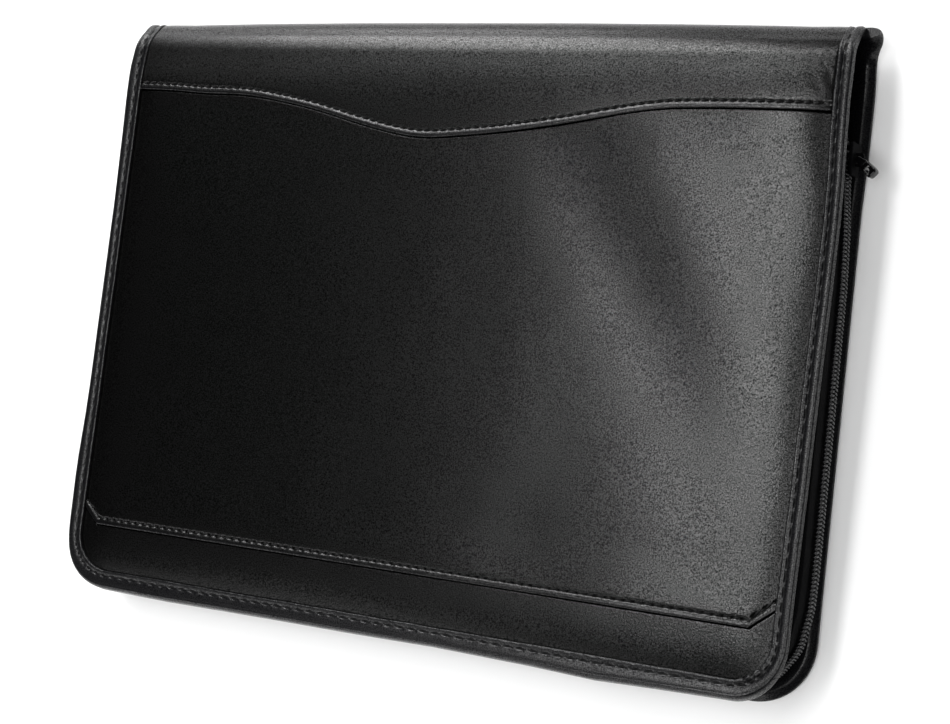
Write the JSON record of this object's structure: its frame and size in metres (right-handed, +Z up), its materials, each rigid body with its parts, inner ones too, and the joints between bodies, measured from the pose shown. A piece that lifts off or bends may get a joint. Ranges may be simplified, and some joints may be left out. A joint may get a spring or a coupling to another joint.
{
  "type": "zippered conference folder",
  "caption": "Closed black leather A4 conference folder with padded covers, a half-round spine, bound edges and a zip round the three free sides with a swinging pull.",
  "frame": {"origin": "middle of the back cover's outer face, on which the closed folder lies", "axes": "+X along the spine, +Y from the zip edge to the spine, +Z up out of the front cover"},
  "size_m": [0.364, 0.2672, 0.03],
  "materials": {
    "cover_leather": "black, finely grained, semi-gloss",
    "binding_leather": "black, thin and smooth, semi-gloss",
    "zip_tape": "black woven tape, matt",
    "zip_coil": "black moulded nylon coil, satin",
    "zip_metal": "black enamelled zinc casting, glossy"
  },
  "bodies": {
    "folder": {"front_panel": "cover_leather", "spine_wrap": "cover_leather", "lower_band": "cover_leather", "back_panel": "cover_leather", "binding_front": "binding_leather", "binding_back": "binding_leather", "zip_tape_front": "zip_tape", "zip_tape_back": "zip_tape", "zip_coil_front": "zip_coil", "zip_coil_back": "zip_coil", "slider_body": "zip_metal"},
    "pull": {"zip_pull": "zip_metal"}
  },
  "joints": [
    {"name": "pull_swing", "type": "hinge", "parent": "folder", "child": "pull", "pos_m": [0.17718, 0.081, 0.0134], "axis": [0, 0, 1], "range_deg": [-28, 112]}
  ]
}
